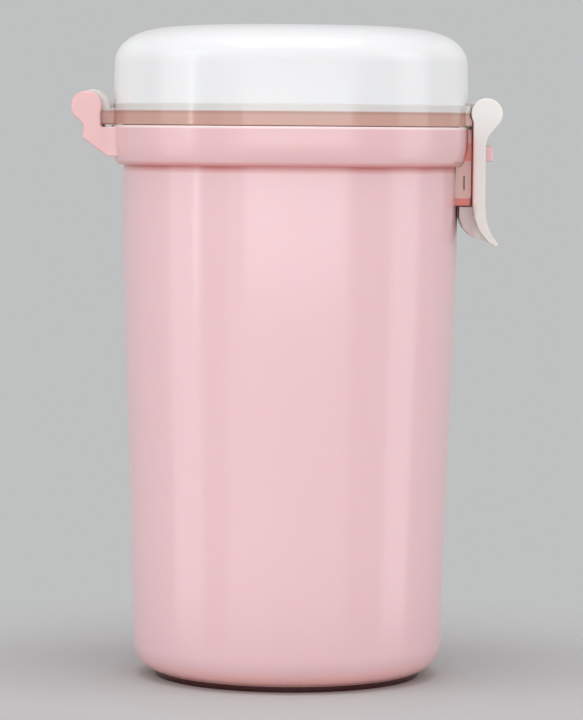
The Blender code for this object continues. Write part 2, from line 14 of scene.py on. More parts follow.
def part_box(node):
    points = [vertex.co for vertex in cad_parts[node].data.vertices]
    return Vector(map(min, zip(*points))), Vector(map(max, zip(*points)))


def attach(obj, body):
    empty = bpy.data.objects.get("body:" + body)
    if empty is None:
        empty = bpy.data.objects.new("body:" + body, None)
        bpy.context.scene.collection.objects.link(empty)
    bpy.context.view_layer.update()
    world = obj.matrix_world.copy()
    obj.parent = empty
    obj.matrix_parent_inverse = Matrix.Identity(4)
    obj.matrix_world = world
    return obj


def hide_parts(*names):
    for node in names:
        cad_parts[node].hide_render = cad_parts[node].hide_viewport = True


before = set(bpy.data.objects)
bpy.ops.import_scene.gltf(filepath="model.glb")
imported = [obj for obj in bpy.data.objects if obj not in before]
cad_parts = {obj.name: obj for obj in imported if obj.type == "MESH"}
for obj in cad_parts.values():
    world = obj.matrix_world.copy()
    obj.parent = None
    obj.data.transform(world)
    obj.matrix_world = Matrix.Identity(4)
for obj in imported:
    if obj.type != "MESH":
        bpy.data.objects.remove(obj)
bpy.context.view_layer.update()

MM = 0.001
ROUND_STEPS = 240
SHARP_ANGLE = 38.0
ORIGIN = (0.0, 0.0)


def frame_box(node):
    """A CAD node's lowest and highest corner, in millimetres."""
    low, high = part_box(node)
    return low / MM, high / MM


def middle(node):
    """The middle of a CAD node's box, in millimetres."""
    low, high = frame_box(node)
    return (low + high) / 2.0


# Sizes that come from the frame.
TUB_HIGH = frame_box("body_shell")[1]
COVER_LOW, COVER_HIGH = frame_box("lid_cover")
HINGE_PIN = middle("hinge_pin")
LATCH_PIN = middle("latch_pin")
FLAP_PIN = middle("flap_pin")
HINGE_X = HINGE_PIN.x
HINGE_Z = HINGE_PIN.z
LATCH_X = LATCH_PIN.x
LATCH_Z = LATCH_PIN.z
FLAP_Y = FLAP_PIN.y
FLAP_Z = FLAP_PIN.z
RIM_Z = TUB_HIGH.z
RIM_RADIUS = TUB_HIGH.x
COLLAR_RADIUS = frame_box("collar_ring")[1].y
COVER_RADIUS = COVER_HIGH.x
COVER_TOP = COVER_HIGH.z

# Sizes of the tub and its collar that the frame's boxes don't give.
COLLAR_BOTTOM = 132.7
COLLAR_TOP = 142.85
WALL = 2.0
CORNER_WALL_RADIUS = 40.2
CORNER_Z = 8.8
CORNER_RADIUS = 7.5
FOOT_Z = 1.3
FOOT_INNER = 31.5
FOOT_OUTER = 34.5
COLLAR_GAP = 0.1
KEY_PEG_TOP = 12.0
TUB_FLOOR_TOP = 3.5

# The outer wall's slight swell: how far, about what height, how widely, and where it has died out.
BELLY = 0.6
BELLY_Z = 100.0
BELLY_SPREAD = 36.0
BELLY_END_Z = 131.5
BELLY_END_SPREAD = 7.0

# The hinge and the latch.
BRACKET_ROOT_X = -42.2
BRACKET_BOTTOM = 134.6
HEAD_RADIUS = 3.95
KNUCKLE_RADIUS = 4.05
LATCH_LUG_RADIUS = 3.6
LEVER_INNER_X = 46.8
LEVER_OUTER_X = 50.1
HALF_WIDTH = 12.5
LUG_HALF_WIDTH = 7.0
KNUCKLE_INNER_Y = 7.3
BRACKET_HALF_WIDTH = 9.0
KEEPER_HALF_WIDTH = 9.0
CLAW_HALF_WIDTH = 8.5
PIN_RADIUS = 1.2
PIN_HOLE_RADIUS = 1.5
PIN_HOLE_START = -11.3
LEDGE_BOTTOM = 122.7
CLAW_TOP = 122.5

# The divider, the disc and the flap.
VANE_CORNER_Z = 12.8
DISC_BOTTOM = 135.9
DISC_TOP = 138.0
FLAP_PIN_RADIUS = 0.9
FLAP_HOLE_RADIUS = 1.2
FLAP_KNUCKLE_RADIUS = 2.0

# How far from the middle a cut reaches that runs right through a piece.
THROUGH = 20.0


# ---------------------------------------------------------------- outlines


def arc(centre, radius, start, end, steps):
    """Points along a circle from start to end, in degrees, ends included."""
    turns = [math.radians(start + (end - start) * k / steps) for k in range(steps + 1)]
    return [(centre[0] + radius * math.cos(t), centre[1] + radius * math.sin(t)) for t in turns]


def rectangle(half_width, half_depth):
    """A rectangle round the origin."""
    return [
        (-half_width, -half_depth),
        (half_width, -half_depth),
        (half_width, half_depth),
        (-half_width, half_depth),
    ]


def hole_outline(centre, radius, steps):
    """A round hole's outline, without its first point again at the end."""
    return arc(centre, radius, 0.0, 360.0 - 360.0 / steps, steps - 1)


def sharp(points):
    """Points as corners that stay as they are."""
    return [(a, b, 0.0) for a, b in points]


def fillet(corners, steps=6):
    """A closed outline from (a, b, radius) corners, each rounded by an arc of its radius."""
    count = len(corners)
    points = []
    for index, (a, b, radius) in enumerate(corners):
        here = Vector((a, b))
        before = Vector(corners[index - 1][:2]) - here
        after = Vector(corners[(index + 1) % count][:2]) - here
        if radius <= 0.0 or before.length == 0.0 or after.length == 0.0:
            points.append((a, b))
            continue
        half = before.angle(after) / 2.0
        if half < 0.01 or half > math.pi / 2.0 - 0.01:
            points.append((a, b))
            continue
        reach = min(radius / math.tan(half), 0.49 * before.length, 0.49 * after.length)
        radius = reach * math.tan(half)
        start = here + before.normalized() * reach
        end = here + after.normalized() * reach
        centre = here + (before.normalized() + after.normalized()).normalized() * (radius / math.sin(half))
        spoke = start - centre
        turn = spoke.angle_signed(end - centre)
        for step in range(steps + 1):
            angle = -turn * step / steps
            c = math.cos(angle)
            s = math.sin(angle)
            points.append((centre.x + c * spoke.x - s * spoke.y, centre.y + s * spoke.x + c * spoke.y))
    return points


def inset(points, distance):
    """An anticlockwise outline moved inwards by a distance."""
    moved = []
    count = len(points)
    for index in range(count):
        here = Vector(points[index])
        along_in = (here - Vector(points[index - 1])).normalized()
        along_out = (Vector(points[(index + 1) % count]) - here).normalized()
        normal_in = Vector((-along_in.y, along_in.x))
        normal_out = Vector((-along_out.y, along_out.x))
        mitre = (normal_in + normal_out).normalized()
        share = max(0.5, mitre.dot(normal_in))
        moved.append(tuple(here + mitre * (distance / share)))
    return moved


def anticlockwise(points):
    """The same outline, turned round if it runs clockwise."""
    area = sum(a[0] * b[1] - b[0] * a[1] for a, b in zip(points, points[1:] + points[:1]))
    return points if area > 0.0 else points[::-1]


def without_doubles(points, least=0.01):
    """An outline without points closer than a least distance to the one before."""
    kept = [points[0]]
    for point in points[1:]:
        if (Vector(point) - Vector(kept[-1])).length > least:
            kept.append(point)
    if (Vector(kept[0]) - Vector(kept[-1])).length <= least:
        kept.pop()
    return kept


# ---------------------------------------------------------------- meshes


def object_from(name, mesh_data):
    """Link a bmesh in millimetres as an object in metres, at the origin."""
    bmesh.ops.recalc_face_normals(mesh_data, faces=mesh_data.faces)
    for vertex in mesh_data.verts:
        vertex.co *= MM
    mesh = bpy.data.meshes.new(name)
    mesh_data.to_mesh(mesh)
    mesh_data.free()
    obj = bpy.data.objects.new(name, mesh)
    bpy.context.scene.collection.objects.link(obj)
    return obj


def lathe(name, section, steps=ROUND_STEPS):
    """A solid of revolution about the vertical axis, from a closed (radius, height) section."""
    mesh_data = bmesh.new()
    rings = []
    for radius, height in section:
        ring = []
        for step in range(steps if radius > 0.001 else 1):
            turn = 2.0 * math.pi * step / steps
            ring.append(mesh_data.verts.new((radius * math.cos(turn), radius * math.sin(turn), height)))
        rings.append(ring)
    for ring, following in zip(rings, rings[1:] + rings[:1]):
        if len(ring) == 1 and len(following) == 1:
            continue
        for step in range(steps):
            corners = []
            for source, index in ((ring, step), (ring, step + 1), (following, step + 1), (following, step)):
                vertex = source[index % len(source)]
                if vertex not in corners:
                    corners.append(vertex)
            if len(corners) > 2:
                mesh_data.faces.new(corners)
    return object_from(name, mesh_data)


def block(name, outline, axis, low, high, edge=0.4, steps=4):
    """An outline pushed along an axis from low to high, with the rims at both ends rounded."""
    place = {
        "X": lambda a, b, depth: (depth, a, b),
        "Y": lambda a, b, depth: (a, depth, b),
        "Z": lambda a, b, depth: (a, b, depth),
    }[axis]
    outline = without_doubles(anticlockwise(outline))
    levels = []
    for step in range(steps + 1):
        turn = math.radians(90.0 * step / steps)
        levels.append((edge * (1.0 - math.sin(turn)), low + edge * (1.0 - math.cos(turn))))
    levels += [(shrink, low + high - depth) for shrink, depth in reversed(levels)]
    if edge <= 0.0:
        levels = [(0.0, low), (0.0, high)]
    mesh_data = bmesh.new()
    rings = []
    for shrink, depth in levels:
        ring = inset(outline, shrink) if shrink > 0.0 else outline
        rings.append([mesh_data.verts.new(place(a, b, depth)) for a, b in ring])
    count = len(outline)
    for ring, following in zip(rings, rings[1:]):
        for index in range(count):
            after = (index + 1) % count
            mesh_data.faces.new((ring[index], ring[after], following[after], following[index]))
    mesh_data.faces.new(rings[0])
    mesh_data.faces.new(rings[-1])
    return object_from(name, mesh_data)


def merge(obj, helpers, operation):
    """Add or cut helper solids with an exact Boolean, and keep only the result's mesh."""
    for helper in helpers:
        modifier = obj.modifiers.new("merge", "BOOLEAN")
        modifier.operation = operation
        modifier.solver = "EXACT"
        modifier.object = helper
        bpy.context.view_layer.update()
        graph = bpy.context.evaluated_depsgraph_get()
        made = bpy.data.meshes.new_from_object(obj.evaluated_get(graph))
        obj.modifiers.clear()
        obj.data = made
        bpy.data.objects.remove(helper, do_unlink=True)


def dress(obj, body, node, material):
    """Shade a finished piece, and let it ride in its CAD node's place."""
    obj.data.materials.clear()
    obj.data.materials.append(material)
    obj.data.shade_smooth()
    obj.data.set_sharp_from_angle(angle=math.radians(SHARP_ANGLE))
    weighted = obj.modifiers.new("weighted_normals", "WEIGHTED_NORMAL")
    weighted.keep_sharp = True
    weighted.weight = 60
    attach(obj, body)
    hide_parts(node)


# ---------------------------------------------------------------- materials


class Nodes:
    """A short way to write a material's nodes."""

    def __init__(self, name):
        self.material = bpy.data.materials.new(name)
        self.material.use_nodes = True
        self.tree = self.material.node_tree
        self.shader = self.tree.nodes["Principled BSDF"]
        self.place = self.add("ShaderNodeTexCoord").outputs["Object"]

    def add(self, kind, **settings):
        node = self.tree.nodes.new(kind)
        for key, value in settings.items():
            setattr(node, key, value)
        return node

    def link(self, output, socket):
        self.tree.links.new(output, socket)

    def noise(self, scale, detail=3.0, stretch=(1.0, 1.0, 1.0)):
        """Noise in the piece's own space, in cycles per metre."""
        mapping = self.add("ShaderNodeMapping")
        mapping.inputs["Scale"].default_value = stretch
        self.link(self.place, mapping.inputs["Vector"])
        node = self.add("ShaderNodeTexNoise")
        node.inputs["Scale"].default_value = scale
        node.inputs["Detail"].default_value = detail
        self.link(mapping.outputs["Vector"], node.inputs["Vector"])
        return node.outputs["Fac"]

    def ramp(self, value, low, high, from_low=0.3, from_high=0.7):
        """A value mapped from one range to another."""
        node = self.add("ShaderNodeMapRange")
        node.inputs["From Min"].default_value = from_low
        node.inputs["From Max"].default_value = from_high
        node.inputs["To Min"].default_value = low
        node.inputs["To Max"].default_value = high
        self.link(value, node.inputs["Value"])
        return node.outputs["Result"]

    def crevices(self, reach):
        """0 deep in a crevice and 1 in the open, looking a few millimetres around; it places painted crevice
        shade.
        """
        node = self.add("ShaderNodeAmbientOcclusion", samples=6)
        node.inputs["Distance"].default_value = reach * MM
        return self.ramp(node.outputs["AO"], 0.0, 1.0, 0.08, 0.55)

    def blend(self, factor, first, second):
        """Two colours, or a socket and a colour, mixed by a factor."""
        node = self.add("ShaderNodeMix", data_type="RGBA")
        self.link(factor, node.inputs["Factor"])
        for value, socket in ((first, node.inputs["A"]), (second, node.inputs["B"])):
            if hasattr(value, "is_output"):
                self.link(value, socket)
            else:
                socket.default_value = (*value, 1.0)
        return node.outputs["Result"]

    def painted(self, tone, tints):
        """A tone laid over by tints, each a colour and the (axis, from, to) ramps that bring it in.

        The ramps are in millimetres. The axes are X, Y, Z and R, the distance from the vertical axis.
        """
        place = self.add("ShaderNodeSeparateXYZ")
        self.link(self.place, place.inputs[0])
        level = self.add("ShaderNodeVectorMath", operation="MULTIPLY")
        level.inputs[1].default_value = (1.0, 1.0, 0.0)
        self.link(self.place, level.inputs[0])
        radius = self.add("ShaderNodeVectorMath", operation="LENGTH")
        self.link(level.outputs["Vector"], radius.inputs[0])
        along = {axis: place.outputs[axis] for axis in "XYZ"}
        along["R"] = radius.outputs["Value"]
        for colour, ramps in tints:
            share = None
            for axis, start, end in ramps:
                factor = self.ramp(along[axis], 0.0, 1.0, start * MM, end * MM)
                if share is not None:
                    product = self.add("ShaderNodeMath", operation="MULTIPLY")
                    self.link(share, product.inputs[0])
                    self.link(factor, product.inputs[1])
                    factor = product.outputs[0]
                share = factor
            tone = self.blend(share, tone, colour)
        return tone

    def bump(self, layers):
        """Bumps laid over each other, each a (height, strength, depth in millimetres)."""
        normal = None
        for height, strength, depth in layers:
            node = self.add("ShaderNodeBump")
            node.inputs["Strength"].default_value = strength
            node.inputs["Distance"].default_value = depth * MM
            self.link(height, node.inputs["Height"])
            if normal is not None:
                self.link(normal, node.inputs["Normal"])
            normal = node.outputs["Normal"]
        self.link(normal, self.shader.inputs["Normal"])

    def set(self, **values):
        """Constant values on the shader's own sockets."""
        for key, value in values.items():
            self.shader.inputs[key.replace("_", " ")].default_value = value


def moulded(name, colour, deep, crevice, roughness, scatter, tints=()):
    """Injection-moulded plastic: a colour mottled with a deeper one, painted shade in crevices, ripple and
    scuffs.
    """
    scuff = 0.06
    ripple = 0.02
    m = Nodes(name)
    flow = m.noise(16.0, 3.0, (1.0, 1.0, 0.35))
    specks = m.noise(900.0, 1.0)
    tone = m.blend(m.ramp(flow, 0.0, 0.55), colour, deep)
    tone = m.blend(m.ramp(specks, 0.0, 0.25, 0.74, 0.8), tone, deep)
    # Painted shade: crevices and narrow gaps take on the darker crevice colour.
    tone = m.blend(m.crevices(3.0), crevice, tone)
    tone = m.painted(tone, tints)
    m.link(tone, m.shader.inputs["Base Color"])
    marks = m.noise(60.0, 5.0, (1.0, 1.0, 0.25))
    scratches = m.noise(420.0, 2.0, (1.0, 1.0, 0.04))
    worn = m.add("ShaderNodeMath", operation="MULTIPLY")
    m.link(m.ramp(marks, 0.0, 1.0, 0.45, 0.75), worn.inputs[0])
    m.link(m.ramp(scratches, 0.4, 1.0, 0.5, 0.72), worn.inputs[1])
    m.link(m.ramp(worn.outputs[0], roughness, roughness + scuff, 0.0, 1.0), m.shader.inputs["Roughness"])
    m.bump(
        (
            (m.noise(30.0, 1.0, (1.0, 1.0, 0.5)), 0.5, ripple * 8.0),
            (m.noise(2600.0, 2.0), 0.25, ripple * 0.3),
            (scratches, 0.2, ripple * 0.25),
        )
    )
    m.set(IOR=1.49)
    m.set(Subsurface_Weight=scatter, Subsurface_Scale=MM)
    m.shader.inputs["Subsurface Radius"].default_value = (3.0, 1.5, 1.2)
    return m.material


def clear_plastic():
    """Clear polished plastic: milky in tone, with painted light and shade on its outer skirt."""
    m = Nodes("clear_polished")
    haze = m.noise(55.0, 3.0, (1.0, 1.0, 3.0))
    outside = [("R", 44.9, 45.4), ("Z", 146.7, 146.35)]
    tone = m.painted(
        m.blend(m.ramp(haze, 0.0, 1.0), (0.89, 0.86, 0.84), (0.86, 0.83, 0.81)),
        [
            # Painted: the pink rim in shade seen through the outer skirt as a warm band, a lighter end at the
            # latch where light comes through, and a painted shade line at the band's top.
            ((0.74, 0.435, 0.365), outside),
            ((0.84, 0.57, 0.53), [*outside, ("X", 44.4, 44.9), ("Y", -11.0, -10.0), ("Y", 11.0, 10.0)]),
            ((0.62, 0.37, 0.31), [*outside, ("Z", 145.6, 146.1)]),
        ],
    )
    m.link(tone, m.shader.inputs["Base Color"])
    m.link(m.ramp(haze, 0.06, 0.16), m.shader.inputs["Roughness"])
    m.bump(((m.noise(120.0, 2.0, (1.0, 1.0, 2.5)), 0.3, 0.05),))
    m.set(IOR=1.45, Transmission_Weight=0.30)
    return m.material


def soft_silicone():
    """Matt translucent silicone with fine dust."""
    m = Nodes("soft_silicone")
    dust = m.noise(700.0, 4.0)
    tone = m.blend(m.ramp(dust, 0.0, 0.6), (0.80, 0.79, 0.75), (0.68, 0.67, 0.64))
    m.link(tone, m.shader.inputs["Base Color"])
    m.link(m.ramp(dust, 0.42, 0.62), m.shader.inputs["Roughness"])
    m.bump(((dust, 0.2, 0.02),))
    m.set(IOR=1.41, Subsurface_Weight=0.3, Subsurface_Scale=MM)
    m.shader.inputs["Subsurface Radius"].default_value = (2.0, 1.9, 1.7)
    return m.material


def turned_steel():
    """Plain steel with fine turning lines."""
    m = Nodes("turned_steel")
    lines = m.noise(500.0, 2.0, (1.0, 0.1, 1.0))
    tone = m.blend(m.ramp(lines, 0.0, 1.0), (0.58, 0.58, 0.60), (0.44, 0.44, 0.46))
    m.link(tone, m.shader.inputs["Base Color"])
    m.link(m.ramp(lines, 0.22, 0.38), m.shader.inputs["Roughness"])
    m.bump(((lines, 0.2, 0.01),))
    m.set(Metallic=1.0)
    return m.material


# Painted light and shade: colours that show only in some places, each with the ramps that bring it in.
# Painted light: the round bottom corner warmer and brighter, as bounced light would make it.
PAINTED_BOUNCE_ON_CORNER = ((0.92, 0.50, 0.47), [("Z", 6.5, 2.2)])
# Painted shadow: the foot under the round corner near black.
PAINTED_SHADOW_ON_FOOT = ((0.04, 0.001, 0.001), [("Z", 1.50, 1.42)])
# Painted shade: a deep pink line on the tub just under the collar.
PAINTED_SHADE_UNDER_COLLAR = ((0.57, 0.21, 0.20), [("Z", 130.8, 132.4), ("Z", 136.0, 134.0)])
# Painted shade: the collar darker and deeper red from its lower edge down, keeper included.
PAINTED_SHADE_ON_COLLAR_BOTTOM = ((0.69, 0.27, 0.26), [("Z", 134.0, 132.9)])
# Painted highlight: the collar's top edge paler, except at the hinge bracket.
PAINTED_HIGHLIGHT_ON_COLLAR_TOP = ((0.90, 0.69, 0.70), [("Z", 142.0, 142.5), ("X", -47.5, -47.0)])
# Painted shade: the hinge ears and bracket a little darker and deeper pink than the collar.
PAINTED_SHADE_ON_EARS = ((0.72, 0.445, 0.450), [("X", -45.5, -48.0)])
# Painted shade: the keeper below the collar darker and warmer.
PAINTED_SHADE_ON_KEEPER = ((0.63, 0.37, 0.33), [("Z", 134.4, 133.8), ("X", 41.5, 42.0), ("X", 46.55, 46.35)])
# Painted light: a deep red glow of light caught between pink surfaces behind the collar's end, round the
# tab's root.
PAINTED_GLOW_BEHIND_COLLAR_END = (
    (0.75, 0.15, 0.09),
    [
        ("Z", 133.9, 134.4),
        ("Z", 139.2, 138.4),
        ("X", 46.5, 46.3),
        ("X", 44.4, 44.8),
        ("Y", -9.5, -9.1),
        ("Y", 9.5, 9.1),
    ],
)
# Painted light: the keeper's ledge glowing red-orange in its shade.
PAINTED_GLOW_ON_KEEPER_LEDGE = ((0.62, 0.12, 0.08), [("Z", 124.8, 124.5), ("X", 46.35, 46.2)])
# Painted light: the cover's left and right sides brighter, the left more.
PAINTED_LIGHT_ON_COVER_LEFT = ((0.89, 0.885, 0.88), [("X", -36.0, -45.0)])
PAINTED_LIGHT_ON_COVER_RIGHT = ((0.86, 0.86, 0.85), [("X", 36.0, 45.0)])
# Painted shade: the lever below its knuckle darker than at the top.
PAINTED_SHADE_ON_LEVER_SHAFT = ((0.64, 0.600, 0.575), [("Z", 146.0, 138.0)])
# Painted reflection: the front edge of the lever's inner face pink, as the pink tub reflects in it.
PAINTED_PINK_REFLECTION_ON_LEVER = (
    (0.76, 0.45, 0.41),
    [("Z", 142.0, 138.0), ("X", 48.0, 47.0), ("Z", 121.0, 123.0), ("Y", -11.2, -11.9)],
)
# Painted shade: the claw under the keeper greyer and darker.
PAINTED_SHADE_ON_CLAW = ((0.54, 0.43, 0.41), [("Z", 123.5, 122.8), ("X", 48.2, 47.0)])

# Each material's third colour is its painted crevice shade.
PINK_SHELL = moulded(
    "pink_shell",
    (0.79, 0.530, 0.560),
    (0.77, 0.505, 0.535),
    (0.56, 0.13, 0.12),
    roughness=0.16,
    scatter=0.25,
    tints=[PAINTED_BOUNCE_ON_CORNER, PAINTED_SHADOW_ON_FOOT, PAINTED_SHADE_UNDER_COLLAR],
)
PINK_COLLAR = moulded(
    "pink_collar",
    (0.77, 0.500, 0.520),
    (0.75, 0.480, 0.495),
    (0.72, 0.16, 0.10),
    roughness=0.20,
    scatter=0.4,
    tints=[
        PAINTED_SHADE_ON_COLLAR_BOTTOM,
        PAINTED_HIGHLIGHT_ON_COLLAR_TOP,
        PAINTED_SHADE_ON_EARS,
        PAINTED_SHADE_ON_KEEPER,
        PAINTED_GLOW_BEHIND_COLLAR_END,
        PAINTED_GLOW_ON_KEEPER_LEDGE,
    ],
)
PINK_TRIM = moulded(
    "pink_trim",
    (0.77, 0.500, 0.520),
    (0.75, 0.480, 0.495),
    (0.72, 0.16, 0.10),
    roughness=0.20,
    scatter=0.4,
)
WHITE_COVER = moulded(
    "white_cover",
    (0.765, 0.763, 0.775),
    (0.75, 0.748, 0.76),
    (0.62, 0.60, 0.58),
    roughness=0.20,
    scatter=0.1,
    tints=[PAINTED_LIGHT_ON_COVER_LEFT, PAINTED_LIGHT_ON_COVER_RIGHT],
)
WHITE_LEVER = moulded(
    "white_lever",
    (0.74, 0.72, 0.70),
    (0.72, 0.70, 0.68),
    (0.80, 0.38, 0.32),
    roughness=0.24,
    scatter=0.2,
    tints=[PAINTED_SHADE_ON_LEVER_SHAFT, PAINTED_PINK_REFLECTION_ON_LEVER, PAINTED_SHADE_ON_CLAW],
)
WHITE_TRIM = moulded(
    "white_moulding",
    (0.76, 0.735, 0.72),
    (0.73, 0.71, 0.70),
    (0.60, 0.50, 0.46),
    roughness=0.24,
    scatter=0.2,
)
NATURAL = moulded(
    "natural_plastic",
    (0.78, 0.74, 0.71),
    (0.72, 0.68, 0.66),
    (0.60, 0.52, 0.48),
    roughness=0.34,
    scatter=0.4,
)
CLEAR = clear_plastic()
SILICONE = soft_silicone()
STEEL = turned_steel()


# ---------------------------------------------------------------- tub side


def wall_radius(height):
    """The tub's outer radius at a height on its tapered wall."""
    slope = (RIM_RADIUS - CORNER_WALL_RADIUS) / (RIM_Z - CORNER_Z)
    return CORNER_WALL_RADIUS + slope * (height - CORNER_Z)


def belly(height):
    """How far the outer wall swells beyond its straight taper."""
    swell = BELLY * math.exp(-(((height - BELLY_Z) / BELLY_SPREAD) ** 2))
    return swell * (1.0 - math.exp(-max(0.0, BELLY_END_Z - height) / BELLY_END_SPREAD))


def make_tub():
    """The tub, with its foot ring, round bottom corner, thin wall and soft rim."""
    outer_rings = [(wall_radius(z) + belly(z), z, 0.0) for z in range(16, 144, 4)]
    foot_z = CORNER_Z - math.sqrt(CORNER_RADIUS**2 - (FOOT_OUTER - CORNER_WALL_RADIUS + CORNER_RADIUS) ** 2)
    foot_turn = -math.degrees(math.asin((CORNER_Z - foot_z) / CORNER_RADIUS))
    corner = arc((CORNER_WALL_RADIUS - CORNER_RADIUS, CORNER_Z), CORNER_RADIUS, foot_turn, 0.0, 24)
    inner_bottom = CORNER_WALL_RADIUS - WALL
    corners = [
        (0.0, FOOT_Z, 0.0),
        (FOOT_INNER, FOOT_Z, 0.4),
        (FOOT_INNER, 0.0, 0.5),
        (FOOT_OUTER, 0.0, 0.3),
        *sharp(corner),
        *outer_rings,
        (RIM_RADIUS, RIM_Z, 0.6),
        (RIM_RADIUS - WALL, RIM_Z, 0.6),
        (inner_bottom - 0.2, TUB_FLOOR_TOP, 8.0),
        (0.0, TUB_FLOOR_TOP, 0.0),
    ]
    tub = lathe("tub", fillet(corners, 12))
    half = 3.0
    square = fillet([(-half, -half, 0.6), (half, -half, 0.6), (half, half, 0.6), (-half, half, 0.6)], 3)
    merge(tub, [block("key_peg", square, "Z", TUB_FLOOR_TOP - 1.0, KEY_PEG_TOP, 0.4)], "UNION")
    dress(tub, "container", "body_shell", PINK_SHELL)


def hinge_ear(low, high):
    """One ear: a slanting bracket out of the collar, a stem and a round head."""
    stem_left = HINGE_X - 0.7
    stem_right = HINGE_X + 3.8
    corners = [(BRACKET_ROOT_X, BRACKET_BOTTOM, 0.0), (BRACKET_ROOT_X, 142.3, 0.0)]
    corners.append((stem_right, 142.3, 0.5))
    corners += sharp(arc((HINGE_X, HINGE_Z), HEAD_RADIUS, -24.0, 244.0, 44))
    corners += [(stem_left, 142.6, 1.5), (HINGE_X - 0.9, 139.4, 1.2), (-46.8, BRACKET_BOTTOM, 0.6)]
    return block("ear", fillet(corners), "Y", low, high, 0.5)


def make_collar():
    """The collar with its ears and their bracket, the latch's keeper and the catch tab."""
    bore_low = wall_radius(COLLAR_BOTTOM) + COLLAR_GAP
    bore_high = wall_radius(COLLAR_TOP) + COLLAR_GAP
    bulge = 6.4
    outer_low = 44.3
    section = [(bore_low, COLLAR_BOTTOM)]
    for step in range(17):
        turn = math.radians(90.0 * step / 16)
        radius = outer_low + (COLLAR_RADIUS - outer_low) * math.sin(turn)
        section.append((radius, COLLAR_BOTTOM + bulge * (1.0 - math.cos(turn))))
    corners = sharp(section)
    corners[1] = (outer_low, COLLAR_BOTTOM, 0.25)
    corners += [(COLLAR_RADIUS, COLLAR_TOP, 0.6), (bore_high, COLLAR_TOP, 0.2)]
    collar = lathe("collar", fillet(corners, 6))

    bracket = [(BRACKET_ROOT_X, 134.7, 0.0), (BRACKET_ROOT_X, 142.25, 0.0), (-53.3, 142.25, 0.5)]
    bracket += [(-53.3, 139.5, 1.2), (-46.9, 134.7, 0.6)]
    parts = [block("bracket", fillet(bracket), "Y", -BRACKET_HALF_WIDTH, BRACKET_HALF_WIDTH, 0.0)]
    parts += [hinge_ear(-HALF_WIDTH, -KNUCKLE_INNER_Y), hinge_ear(KNUCKLE_INNER_Y, HALF_WIDTH)]
    keeper = [
        (42.0, LEDGE_BOTTOM, 0.0),
        (46.4, LEDGE_BOTTOM, 0.2),
        (46.4, 124.5, 0.3),
        (46.6, 125.2, 0.3),
        (46.6, 142.3, 0.4),
        (42.0, 142.3, 0.0),
    ]
    parts.append(block("keeper", fillet(keeper), "Y", -KEEPER_HALF_WIDTH, KEEPER_HALF_WIDTH, 0.2))
    tab = [(45.0, 134.0, 0.0), (52.5, 134.0, 0.5), (52.5, 138.3, 1.2), (45.0, 138.3, 0.0)]
    parts.append(block("catch_tab", fillet(tab), "Y", -3.0, 3.0, 0.4))
    merge(collar, parts, "UNION")

    low = 118.0
    high = 150.0
    bore = [(0.0, low), (wall_radius(low) + COLLAR_GAP, low)]
    bore += [(wall_radius(high) + COLLAR_GAP, high), (0.0, high)]
    pin_hole = hole_outline((HINGE_X, HINGE_Z), PIN_HOLE_RADIUS, 48)
    slit = fillet([(44.4, 126.7, 0.2), (44.9, 126.7, 0.2), (44.9, 130.4, 0.2), (44.4, 130.4, 0.2)], 3)
    cuts = [
        lathe("bore", bore),
        block("pin_hole", pin_hole, "Y", PIN_HOLE_START, THROUGH, 0.0),
        block("slit", slit, "Y", -THROUGH, -7.4, 0.0),
    ]
    merge(collar, cuts, "DIFFERENCE")
    dress(collar, "container", "collar_ring", PINK_COLLAR)


def make_divider():
    """The four-vane divider on its post, with the vanes' free edges rounded."""
    spigot = 2.7
    bottom = 3.9
    top = frame_box("divider")[1].z - spigot
    low_reach = wall_radius(VANE_CORNER_Z) - WALL - 0.8
    top_reach = wall_radius(top) - WALL - 0.6
    post = [(0.0, bottom, 0.0), (6.5, bottom, 0.4), (6.5, top, 0.5), (3.0, top, 0.2)]
    post += [(3.0, top + spigot, 0.3), (0.0, top + spigot, 0.0)]
    divider = lathe("divider_vanes", fillet(post, 4), 96)
    vanes = []
    for turn in (45.0, -45.0):
        outline = [(-29.2, 4.1, 1.0), (29.2, 4.1, 1.0), (low_reach, VANE_CORNER_Z, 3.0)]
        outline += [(top_reach, top, 1.5), (-top_reach, top, 1.5), (-low_reach, VANE_CORNER_Z, 3.0)]
        vane = block("vane", fillet(outline), "Y", -0.8, 0.8, 0.35, 3)
        vane.data.transform(Matrix.Rotation(math.radians(turn), 4, "Z"))
        vanes.append(vane)
    merge(divider, vanes, "UNION")
    socket = rectangle(3.4, 3.4)
    screw_hole = hole_outline(ORIGIN, 1.4, 24)
    cuts = [
        block("socket", socket, "Z", 2.0, KEY_PEG_TOP + 0.5, 0.0),
        block("screw_hole", screw_hole, "Z", 126.0, 150.0, 0.0),
    ]
    merge(divider, cuts, "DIFFERENCE")
    dress(divider, "container", "divider", NATURAL)


def make_screw_and_washer():
    """The pan-head screw with its cross recess, and the plain washer under it."""
    head = [(0.0, 126.6, 0.0), (1.1, 127.6, 0.1), (1.1, 139.7, 0.0), (3.2, 139.7, 0.2), (3.2, 141.0, 0.5)]
    head += [(2.0, 141.7, 0.6), (0.0, 141.8, 0.0)]
    screw = lathe("screw", fillet(head, 5), 64)
    cross = [block("slot", rectangle(*sides), "Z", 140.7, 143.0, 0.0) for sides in ((1.7, 0.35), (0.35, 1.7))]
    merge(screw, cross, "DIFFERENCE")
    dress(screw, "container", "hub_screw", STEEL)
    ring = [(1.5, 138.6, 0.1), (5.6, 138.6, 0.15), (5.6, 139.4, 0.15), (1.5, 139.4, 0.1)]
    dress(lathe("washer", fillet(ring, 3), 96), "container", "hub_washer", STEEL)


